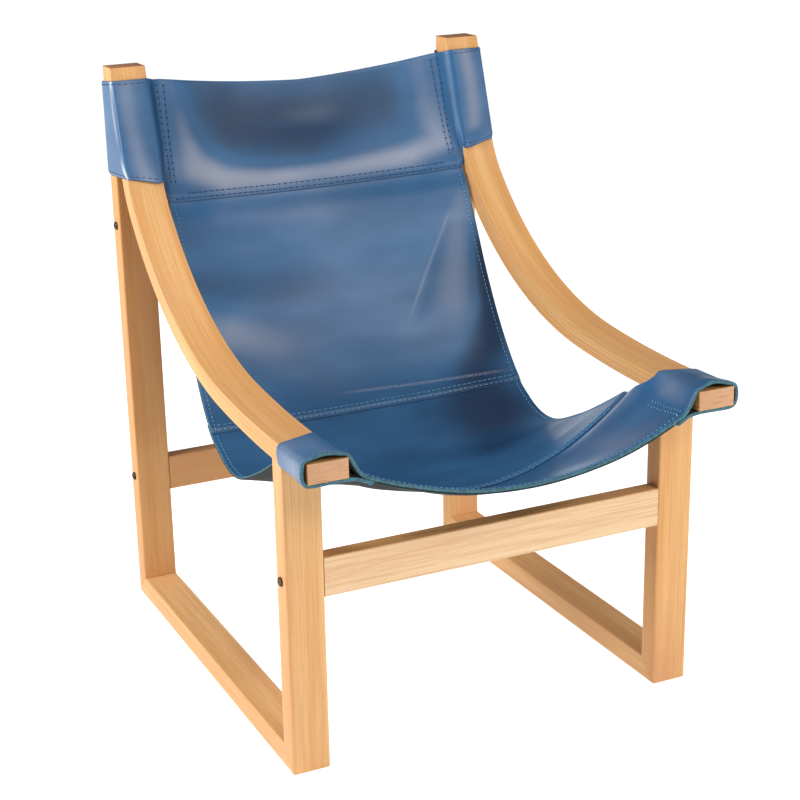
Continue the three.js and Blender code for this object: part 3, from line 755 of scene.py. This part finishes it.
def quadEdges(quads):
    return np.concatenate([quads[:, [k, (k + 1) % 4]] for k in range(4)])


def openEdges(quads, count):
    edges = quadEdges(quads)
    known = edges[:, 0] * count + edges[:, 1]
    back = edges[:, 1] * count + edges[:, 0]
    return edges[~np.isin(back, known)]


rim = {"inset": 0.0011, "steps": 6}
midSurface = {}


# Directions out of a sheet, in its own plane, at its border
def outwardAt(points, normals, border):
    outward = np.zeros_like(points)
    run = unit(points[border[:, 1]] - points[border[:, 0]])
    for k in range(2):
        np.add.at(outward, border[:, k], np.cross(run, normals[border[:, k]]))
    return unit(outward)


def makeSheet(name, points, quads, place, top, bottom, finishes, level=0.0, hemAt=math.inf):
    count = len(points)
    level = np.broadcast_to(level, count)
    normals = pointNormals(points, quads)
    border = openEdges(quads, count)
    around = np.unique(border)
    outward = outwardAt(points, normals, border)
    middle, half = (np.broadcast_to(value, count) for value in ((top + bottom) / 2, (top - bottom) / 2))

    def ring(angle):
        aside = outward[around] * rim["inset"] * (math.cos(angle) - 1)
        lift = level[around] + middle[around] + half[around] * math.sin(angle)
        return points[around] + aside + normals[around] * lift[:, None]

    everyPoint = np.arange(count)
    vertices = [points + normals * (level + face)[:, None] for face in (top, bottom)]
    vertices[0][around], vertices[1][around] = ring(quarter), ring(-quarter)
    spot = np.zeros(count, int)
    spot[around] = np.arange(len(around))
    rings = [everyPoint]
    for k in range(1, rim["steps"]):
        vertices.append(ring(quarter - math.pi * k / rim["steps"]))
        rings.append(2 * count + (k - 1) * len(around) + spot)
    rings.append(everyPoint + count)
    faces = [quads, quads[:, ::-1] + count]
    finish = [np.zeros(len(quads), int), np.full(len(quads), 2)]
    a, b = border.T
    inHem = np.minimum(place[a, 1], place[b, 1]) > hemAt
    for k, (upper, lower) in enumerate(zip(rings, rings[1:])):
        faces.append(np.stack([upper[b], upper[a], lower[a], lower[b]], axis=1))
        finish.append(np.where(inHem, 4, 3 if k == 0 else 1))
    vertices = np.concatenate(vertices) + (0, legFront, 0)
    mesh = bpy.data.meshes.new(name)
    mesh.from_pydata(vertices.tolist(), [], np.concatenate(faces).tolist())
    source = np.concatenate([everyPoint, everyPoint, *[around] * (rim["steps"] - 1)])
    store(mesh, "sling", "FLOAT_VECTOR", np.column_stack([place, np.zeros(count)])[source])
    # Painted highlights and painted shade, partly pull-up wear, stored for the leather's colour
    store(mesh, "paintedLightAndWear", "FLOAT", paintedLightAndWearAt(place)[source])
    midSurface[name] = (points + normals * level[:, None] + (0, legFront, 0), place)
    diagonals = (points[quads[:, k + 2]] - points[quads[:, k]] for k in (0, 1))
    area = np.linalg.norm(np.cross(*diagonals), axis=1).sum() / 2
    print(f"{name}: {area:.4f} square metres")
    return addPiece(name, mesh, np.concatenate(finish), finishes)


def weld(points, quads, extras):
    keys = np.round(points, 6)
    _, first, back = np.unique(keys, axis=0, return_index=True, return_inverse=True)
    return points[first], back.ravel()[quads], [extra[first] for extra in extras]


# Rows and columns of the sling's sheets, closer together at the seams and the sewn edges
spacing = {"row": 0.0065, "column": 0.0065, "fine": 0.0016, "sewn": (0.93, 0.99), "sewnColumns": (0.935, 0.985, 10)}


def rowPlaces(start, end, fineAt=()):
    rows = [np.linspace(start, end, max(2, int((end - start) * slingLength / spacing["row"])))]
    for low, high in fineAt:
        steps = max(2, int((high - low) * slingLength / spacing["fine"]))
        rows = [rows[0][(rows[0] < low) | (rows[0] > high)], *rows[1:], np.linspace(low, high, steps)]
    return np.unique(np.round(np.concatenate(rows), 7))


def columnPlaces(limit=1.0):
    columns = np.linspace(-limit, limit, 2 * int(sling["halfWidth"] * limit / spacing["column"]) + 1)
    if limit < 1:
        return columns
    low, high = spacing["sewn"]
    columns = columns[(np.abs(columns) < low) | (np.abs(columns) > high)]
    sewn = np.linspace(*spacing["sewnColumns"])
    return np.unique(np.concatenate([columns, sewn, -sewn]))


# The sling's surface at the given rows and columns, with its quads and each point's place on it
def slingGrid(across, down):
    across, down = np.meshgrid(across, down)
    points = slingPoint(across, down).reshape(-1, 3)
    quads = gridQuads(*down.shape)
    place = np.column_stack([points[:, 0], down.ravel() * slingLength])
    points = points + pointNormals(points, quads) * relief(across, down).reshape(-1, 1)
    return points, quads, place, down.ravel()


# Leather is pared thinner toward a hem that lies on another piece, and more so at its corners
hem = {"rim": 0.001, "pared": 0.009, "fine": 0.02, "corners": (0.200, 0.245), "cornerShare": 0.35}


def skived(place, hemAt):
    corner = hem["cornerShare"] * smoothstep(np.abs(place[:, 0]), *hem["corners"])
    return sling["skive"] * (1 + corner) * smoothstep(place[:, 1], hemAt - hem["pared"], hemAt)


def shareOf(metres):
    return metres / slingLength


seams = sling["seams"]
liningTop = -halfLeather - sling["gap"]
hemZone = shareOf(hem["fine"])
setback = lapShare + shareOf(sling["setback"])


def makePanel(name, upper, lower):
    end = seams[lower]
    hemAt = end * slingLength - hem["rim"]
    rows = rowPlaces(seams[upper] - lapShare, end, [(end - hemZone, end)])
    points, quads, place, down = slingGrid(columnPlaces(), rows)
    top, level = halfLeather - skived(place, hemAt), lapDrop(down, seams[upper])
    return makeSheet(name, points, quads, place, top, -halfLeather, panelFinishes, level, hemAt)


def makeLining(name, upper, end, limit=1.0):
    points, quads, place, down = slingGrid(columnPlaces(limit), rowPlaces(seams[upper] - lapShare, end))
    bottom, level = liningTop - sling["lining"], lapDrop(down, seams[upper])
    return makeSheet(name, points, quads, place, liningTop, bottom, suedeFinishes, level)


backPanel = makePanel("backPanelLeather", "head", "seat")
seatPanel = makePanel("seatPanelLeather", "seat", "front")
backLining = makeLining("backLiningSuede", "head", seams["seat"] - setback)
seatLining = makeLining("seatLiningSuede", "seat", seams["front"] - setback)
frontLining = makeLining("frontLiningSuede", "front", 1.0, limit=0.9)
print("panels and linings made")


# Front band: the strip across, and a loop over each rail's tip in one piece with it
loop = {
    "fit": 0.0004,
    "lift": (0.0012, 0.0020),
    "arch": {1: (0.0036, 0.0072), -1: (0.0034, 0.0062)},
    "archAt": {1: 0.42, -1: 0.5},
    "rise": {1: (0.0010, 0.0006), -1: (0.0012, 0.0026)},
    "slack": 0.0008,
    "bulge": 0.0034,
    "sideBulge": 0.0006,
    "corner": 0.0095,
    "innerCorner": 0.0085,
    "flap": 0.92,
    "ends": {
        "root": 1.5, "topInner": 0.45, "arch": 0.04, "topOuter": -0.03, "side": -0.12,
        "underOuter": -0.17, "underInner": -0.18, "flap": -0.14,
    },
    "rows": 16,
    "steps": (5, 2, 2, 6, 6, 4, 4, 3, 3, 4, 4, 10, 4, 4),
    "join": (0.222, 0.258, 12),
}
wrapRadius = rail["easedEdge"] + loop["fit"] + halfLeather


def alongEdge(forward, endShare):
    reach = endShare * chair["legDepth"] - edgeLine(np.array([1.0]))[0, 1]
    return 1 - (reach / edgeLength) * (1 - forward)


def flapPoint(across, down):
    return slingPoint(across, down) - slingNormal(across, down) * lapStep


# A loop stands off the rail a little more at its front than at its rear
def grown(span, forward):
    rear, front = span
    return rear + (front - rear) * forward


# Lines along a loop, from the sling's edge over the rail, round its outside and back under it
def loopColumns(forward, side):
    ends, eased = loop["ends"], rail["easedEdge"]
    outerBend, innerBend = loop["corner"], loop["innerCorner"]
    skin = loop["fit"] + halfLeather
    inner = chair["innerFace"] - skin - loop["slack"] + innerBend
    outer = chair["outerFace"] + skin + loop["bulge"] - outerBend
    crest = inner + (outer - inner) * loop["archAt"][side]
    overInner = grown(loop["lift"], forward) + skin - innerBend
    overOuter = grown(loop["rise"][side], forward) + skin - outerBend
    arched = grown(loop["arch"][side], forward) - eased

    def bend(end, x, up, face, radius, *angles):
        y = edgeLine(alongEdge(forward, ends[end]))[:, 1]
        z = up + railHeightAt(y, face)
        return [
            np.stack([np.full_like(y, x + radius * math.cos(angle)), y, z + radius * math.sin(angle)], axis=1)
            for angle in (math.radians(degrees) for degrees in angles)
        ]

    return np.array([
        slingPoint(1.0, alongEdge(forward, ends["root"])),
        *bend("topInner", inner, overInner, -1, innerBend, 150, 120, 90),
        *bend("arch", crest, arched, -1, wrapRadius, 90),
        *bend("topOuter", outer, overOuter, -1, outerBend, 90, 60, 30),
        *bend("side", outer + loop["sideBulge"], -halfDepth, -1, outerBend, 0),
        *bend("underOuter", outer, outerBend - skin, 1, outerBend, -30, -60, -90),
        *bend("underInner", chair["innerFace"], eased, 1, wrapRadius, -90),
        *(flapPoint(across, alongEdge(forward, ends["flap"])) for across in (1.0, loop["flap"])),
    ])


def splitSteps(steps):
    return np.concatenate([k + np.arange(n) / n for k, n in enumerate(steps)] + [[len(steps)]])


def makeFrontBand():
    forward = np.linspace(0, 1, loop["rows"] + 1)
    joinRows = alongEdge(forward, loop["ends"]["root"])
    rows = np.unique(np.concatenate([rowPlaces(seams["front"] - lapShare, joinRows[0])[:-1], joinRows]))
    points, quads, place, down = slingGrid(columnPlaces(), rows)
    level = lapDrop(down, seams["front"])
    for side in (1, -1):
        wrap = splineAt(loopColumns(forward, side), splitSteps(loop["steps"])).transpose(1, 0, 2)
        reach = (walked(wrap) + wrap[:, :1, 0]).ravel()
        down = np.repeat(joinRows, wrap.shape[1])
        quads = np.concatenate([quads, gridQuads(*wrap.shape[:2], first=len(points))[:, ::side]])
        points = np.concatenate([points, wrap.reshape(-1, 3) * (side, 1, 1)])
        place = np.concatenate([place, np.column_stack([side * reach, down * slingLength])])
        level = np.concatenate([level, lapDrop(down, seams["front"])])
    points, quads, (place, level) = weld(points, quads, [place, level])
    points = relaxed(points, quads, place, *loop["join"])
    fold = sling["frontFold"]
    folded = smoothstep(place[:, 1], slingLength - fold["from"], slingLength - fold["full"])
    top = halfLeather + fold["thickness"] * folded
    return makeSheet("frontBandLeather", points, quads, place, top, -halfLeather, panelFinishes, level)


# Evens the surface where two parts of a sheet meet, between two distances from the middle.
# Points on the sheet's border are evened along the border only.
def relaxed(points, quads, place, low, high, rounds):
    count = len(points)
    border = openEdges(quads, count)
    onBorder = np.zeros(count, bool)
    onBorder[border] = True
    edges = quadEdges(quads)
    edges = np.concatenate([edges[~onBorder[edges[:, 0]]], border, border[:, ::-1]])
    uses = np.bincount(edges[:, 0], minlength=count)
    reach = np.abs(place[:, 0])
    weight = smoothstep(reach, low - 0.012, low) * smoothstep(reach, high + 0.006, high) * 0.5
    for _ in range(rounds):
        total = np.zeros_like(points)
        np.add.at(total, edges[:, 0], points[edges[:, 1]])
        points = points + (total / uses[:, None] - points) * weight[:, None]
    return points


frontBand = makeFrontBand()


# Head band: the top strip, with a sleeve at each end round the rail and the rear leg
sleeve = {
    "topDrop": 0.018,
    "height": 0.145,
    "sag": 0.0205,
    "flap": 0.93,
    "flapLength": 0.137,
    "hems": {"frontInner": -0.04, "frontMiddle": -0.01, "frontOuter": 0.02, "rear": -0.02},
    "rearDrop": 0.005,
    "swell": 0.0032,
    "innerCorner": 0.0105,
    "stand": 0.0026,
    "groove": (0.0045, 0.003),
    "steps": (3, 3, 2, 2, 5, 5, 2, 2, 2, 6, 2, 2, 2, 8, 2, 2, 4, 3),
    "join": (0.226, 0.252, 10),
    "cornerLift": 0.003,
}


def sleeveColumns(down):
    share = down / seams["head"]
    hems, eased = sleeve["hems"], rail["easedEdge"]
    inner, outer = chair["innerFace"] + eased, chair["outerFace"] - eased
    skin, bend = loop["fit"] + halfLeather, sleeve["innerCorner"]

    def corner(hem, x, inset, faceAt, degrees, radius=wrapRadius):
        lowered = sleeve["rearDrop"] if hem == "rear" else 0.0
        height = sleeve["height"] * (1 - hems[hem]) - lowered
        z = rail["top"] - sleeve["topDrop"] - lowered - height * share
        angle = math.radians(degrees)
        y = faceAt(z) + inset + radius * math.sin(angle)
        return np.stack([np.full_like(z, x + radius * math.cos(angle)), y, z], axis=1)

    def railFront(z):
        return railDepthAt(z, -1)

    bendMiddle = chair["innerFace"] - skin - loop["slack"] + bend
    forward = bend - skin - sleeve["stand"]
    folded = [corner("frontInner", bendMiddle, forward, railFront, degrees, bend) for degrees in (225, 248, 270)]
    root = slingPoint(1.0, down)
    groove = (root + folded[0]) / 2
    groove[:, 0] += sleeve["groove"][0] * smoothstep(share, 0.5, 1.0)
    groove[:, 1] += sleeve["groove"][1]
    columns = [root, groove, *folded]
    columns.append(corner("frontMiddle", (inner + outer) / 2, eased - sleeve["swell"], railFront, 270))
    columns += [corner("frontOuter", outer, eased, railFront, degrees) for degrees in (270, 300, 330, 360)]
    columns += [corner("rear", outer, -eased, rearLegBack, degrees) for degrees in (0, 30, 60, 90)]
    columns += [corner("rear", inner, -eased, rearLegBack, degrees) for degrees in (90, 120, 150)]
    columns += [flapPoint(across, sleeve["flapLength"] * share) for across in (1.0, sleeve["flap"])]
    return np.array(columns)


def makeHeadBand():
    hemAt = seams["head"] * slingLength - hem["rim"]
    rows = rowPlaces(0.0, seams["head"], [(seams["head"] - hemZone, seams["head"])])
    across, down = np.meshgrid(columnPlaces(), rows)
    above = 1 - down / (seams["head"] - lapShare)
    sag = shareOf(sleeve["sag"]) * (1 - np.abs(across) ** 1.4) * np.maximum(0, above)
    middle = slingPoint(across, down + sag).reshape(-1, 3)
    middle += pointNormals(middle, gridQuads(*down.shape)) * relief(across, down).reshape(-1, 1)
    middle = middle.reshape(*down.shape, 3)
    middle[..., 2] += sleeve["cornerLift"] * np.abs(across) ** 4 * above
    wrap = splineAt(sleeveColumns(rows), splitSteps(sleeve["steps"])).transpose(1, 0, 2)[:, 1:]
    grid = np.concatenate([(wrap * (-1, 1, 1))[:, ::-1], middle, wrap], axis=1)
    reach = walked(grid)
    reach = (reach - reach[:, -1:] / 2).ravel()
    place = np.column_stack([reach, np.repeat(rows * slingLength, grid.shape[1])])
    quads = gridQuads(*grid.shape[:2])
    points = relaxed(grid.reshape(-1, 3), quads, place, *sleeve["join"])
    top = halfLeather - skived(place, hemAt)
    return makeSheet("headBandLeather", points, quads, place, top, -halfLeather, headFinishes, hemAt=hemAt)


headBand = makeHeadBand()
print("bands made")


# Stitches: rows of short raised threads with an awl hole between each two. Rings of a lump give how
# far along it each lies, its size and its lift.
stitch = {
    "sides": 6,
    "thread": ((-0.5, 0.30, -0.55), (-0.34, 0.85, 0.1), (0.0, 1.0, 0.42), (0.34, 0.85, 0.1), (0.5, 0.30, -0.55)),
    "hole": ((-0.5, 0.15, -0.25), (-0.25, 0.8, -0.12), (0.0, 1.0, -0.1), (0.25, 0.8, -0.12), (0.5, 0.15, -0.25)),
    "holeSize": 1.25,
}


def evenAlong(path, pitch):
    reached = walked(path)
    count = max(1, int(reached[-1] / pitch))
    wanted = (np.arange(count) + 0.5) * reached[-1] / count

    def spotsAt(places):
        return np.stack([np.interp(places, reached, path[:, k]) for k in range(3)], axis=1)

    return spotsAt(wanted), spotsAt(wanted + pitch / 3) - spotsAt(wanted - pitch / 3)


class Sewing:
    def __init__(self, cloth):
        spots = [vert.co for vert in cloth.data.vertices]
        self.tree = BVHTree.FromPolygons(spots, [face.vertices for face in cloth.data.polygons])
        self.vertices, self.faces, self.finish = [], [], []

    # Sets a lump where a ray from the cloth's off side meets it
    def lump(self, spot, run, out, lift, length, radius, shape, finish):
        place, normal, _, _ = self.tree.ray_cast(spot + out * lift, -out, 2.5 * lift)
        if place is None:
            return False
        run = (run - normal * run.dot(normal)).normalized()
        aside = normal.cross(run)
        first, sides, rings = len(self.vertices), stitch["sides"], stitch[shape]
        for along, share, rise in rings:
            for k in range(sides):
                angle = 2 * math.pi * k / sides
                outward = (aside * math.cos(angle) + normal * math.sin(angle)) * radius * share
                self.vertices.append(place + run * along * length + normal * rise * radius + outward)
        last = first + (len(rings) - 1) * sides
        for start in range(first, last, sides):
            for k in range(sides):
                a, b = start + k, start + (k + 1) % sides
                self.faces.append((a, a + sides, b + sides, b))
        self.faces += [tuple(range(first, first + sides)), tuple(range(last + sides - 1, last - 1, -1))]
        self.finish += [finish] * (last - first + 2)
        return True

    def row(self, path, pitch, length, radius, hole, finish=0, lift=0.004):
        for spot, run in zip(*evenAlong(path, pitch)):
            spot, run = Vector(spot), Vector(run)
            normal = self.tree.find_nearest(spot)[1]
            beside = spot + run.normalized() * pitch / 2
            for out in (normal, -normal):
                if self.lump(spot, run, out, lift, length, radius, "thread", finish):
                    self.lump(beside, run, out, lift, hole, radius * stitch["holeSize"], "hole", 2)

    def finished(self, name):
        mesh = bpy.data.meshes.new(name)
        mesh.from_pydata(self.vertices, [], self.faces)
        piece = addPiece(name, mesh, self.finish, threadFinishes)
        return piece


# Points of a sheet at the given places, which are in metres across and down it
def sewnPath(name, places):
    points, known = midSurface[name]
    path = []
    for place in places:
        away = np.linalg.norm(known - place, axis=1)
        near = np.argpartition(away, 5)[:5]
        weight = 1 / (away[near] + 1e-5) ** 2
        path.append((points[near] * weight[:, None]).sum(axis=0) / weight.sum())
    path = np.array(path)
    for _ in range(10):
        path[1:-1] = (path[:-2] + 2 * path[1:-1] + path[2:]) / 4
    return path


def sew(sheet, name, rows):
    sewing = Sewing(sheet)
    for places, kind in rows:
        sewing.row(sewnPath(sheet.name, places), **kind)
    return sewing.finished(name)


def straight(start, end, count=80):
    return np.linspace(np.array(start), np.array(end), count)


def hemRow(seam, distance, reach):
    v = seams[seam] * slingLength - distance
    return straight((-reach, v), (reach, v), 120)


# A panel's rows: across at its hem, and down both sides
def panelRows(upper, lower, hems, reach, endGap):
    start, end = seams[upper] + shareOf(0.003), seams[lower] - shareOf(endGap)
    down = np.linspace(start, end, 120)
    side = edgeLine(down)[:, 0] - 0.0085  # from the sewn edge
    rows = [(hemRow(lower, distance, reach), paleRow) for distance in hems]
    return rows + [(np.column_stack([sign * side, down * slingLength]), sideRow) for sign in (1, -1)]


paleRow = {"pitch": 0.0088, "length": 0.0078, "radius": 0.0008, "hole": 0.0013}
sideRow = {"pitch": 0.0066, "length": 0.0052, "radius": 0.00065, "hole": 0.0013}
frontRow = {"pitch": 0.0074, "length": 0.0052, "radius": 0.0009, "hole": 0.0012, "lift": 0.007}
loopRow = {"pitch": 0.0062, "length": 0.0040, "radius": 0.0011, "hole": 0.0012, "lift": 0.007}
topRow = {"pitch": 0.0092, "length": 0.0046, "radius": 0.0007, "finish": 1, "hole": 0.001}
darkRow = {"pitch": 0.0098, "length": 0.0050, "radius": 0.0011, "finish": 1, "hole": 0.0010}
backStitches = sew(backPanel, "backPanelStitches", panelRows("head", "seat", (0.0048, 0.0122), 0.251, 0.003))
seatStitches = sew(seatPanel, "seatPanelStitches", panelRows("seat", "front", (0.0028, 0.0108), 0.228, 0.02))
headHem = seams["head"] * slingLength
headRows = [(hemRow("head", 0.0048, 0.243), darkRow), (hemRow("head", 0.0126, 0.222), darkRow)]
frontRows = [(straight((-0.232, slingLength - 0.0074), (0.232, slingLength - 0.0056), 120), frontRow)]
for sign in (1, -1):
    for high, low in ((0.2285, 0.2345), (0.2400, 0.2415)):
        headRows.append((straight((sign * high, 0.004), (sign * low, headHem - 0.026)), darkRow))
    for v in (0.0075, headHem - 0.0075):
        headRows.append((straight((sign * 0.268, v), (sign * 0.44, v)), topRow))
    for x in (0.2300, 0.2365):
        frontRows.append((straight((sign * x, slingLength - 0.084), (sign * x, slingLength - 0.006)), loopRow))
headStitches = sew(headBand, "headBandStitches", headRows)
frontStitches = sew(frontBand, "frontBandStitches", frontRows)
print("stitches made")


# Each sheet, its slot, what it was cut to, its area, the part it replaces, what carries it and its stitches; only the
# replaced part is used, and hidden
rails = ["leftLaminatedRail", "rightLaminatedRail"]
for piece, slotName, flat, area, replaced, rests, sewn in (
    (headBand, "leather", (0.88, 0.194), None, "head_band", rails, [headStitches]),
    (backPanel, "leather", (0.515, 0.385), None, "back_panel", ["headBandLeather"], [backStitches]),
    (seatPanel, "leather", (0.525, 0.374), None, "seat_panel", ["backPanelLeather"], [seatStitches]),
    (frontBand, "leather", (0.80, 0.197), 0.141, "front_band", rails, [frontStitches]),
    (backLining, "lining", (0.51, 0.365), None, "back_lining", ["backPanelLeather"], []),
    (seatLining, "lining", (0.52, 0.359), None, "seat_lining", ["seatPanelLeather"], []),
    (frontLining, "lining", (0.47, 0.197), None, "front_lining", ["frontBandLeather"], []),
):
    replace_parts(piece, replaced)


# Pale floor and soft studio light
studio = {
    "floor": 40.0,
    "floorGlow": 0.86,
    "world": 0.2,
    "boxes": (
        ("leftBox", (-2.5, 0.25, 1.7), (1.2, 1.4), 72.0),
        ("highBox", (1.5, -3.9, 3.75), (2.8, 0.6), 58.0),
        ("rightBox", (2.26, -1.4, 1.05), (1.2, 1.4), 17.0),
        ("frontBox", (0.4, -3.3, 0.5), (2.2, 0.9), 31.0),
        ("topBox", (-0.6, 0.5, 3.2), (1.2, 1.2), 7.0),
        ("backBox", (0.1, 3.6, 1.0), (4.0, 1.8), 1.6),
    ),
    "aim": (0.0, 0.0, 0.6),
}


def aimed(lamp, place):
    lamp.location = place
    lamp.rotation_euler = (Vector(studio["aim"]) - Vector(place)).to_track_quat("-Z", "Y").to_euler()
    lamp.visible_camera = False
    bpy.context.scene.collection.objects.link(lamp)


def makeStudio():
    deselect()
    bpy.ops.mesh.primitive_plane_add(size=studio["floor"] * 2, location=(0, 0, -0.0006))
    floor = bpy.context.object
    floor.name = "studioFloor"
    paint = Shader("paleFloor", Roughness=0.9, Specular_IOR_Level=0.1, Base_Color=(0.8, 0.8, 0.8, 1))
    paint.put("Emission Color", (1, 1, 1, 1))
    bounced = paint.add("ShaderNodeLightPath", output="Is Diffuse Ray")
    paint.put("Emission Strength", (1 - bounced) * studio["floorGlow"])
    floor.data.materials.append(paint.material)
    world = bpy.data.worlds.new("studio")
    world.use_nodes = True
    sky = world.node_tree
    backdrop = sky.nodes["Background"]
    backdrop.inputs["Color"].default_value = (1, 1, 1, 1)
    seen = sky.nodes.new("ShaderNodeLightPath")  # white behind the chair, dimmer as a light
    strength = sky.nodes.new("ShaderNodeMapRange")
    strength.inputs["To Min"].default_value = studio["world"]
    strength.inputs["To Max"].default_value = 1.0
    sky.links.new(seen.outputs["Is Camera Ray"], strength.inputs["Value"])
    sky.links.new(strength.outputs["Result"], backdrop.inputs["Strength"])
    bpy.context.scene.world = world
    for name, place, (width, height), power in studio["boxes"]:
        box = bpy.data.lights.new(name, "AREA")
        box.shape = "RECTANGLE"
        box.energy, box.size, box.size_y = power, width, height
        aimed(bpy.data.objects.new(name, box), place)
    bpy.context.scene.view_settings.view_transform = "Standard"


makeStudio()
print("studio made")
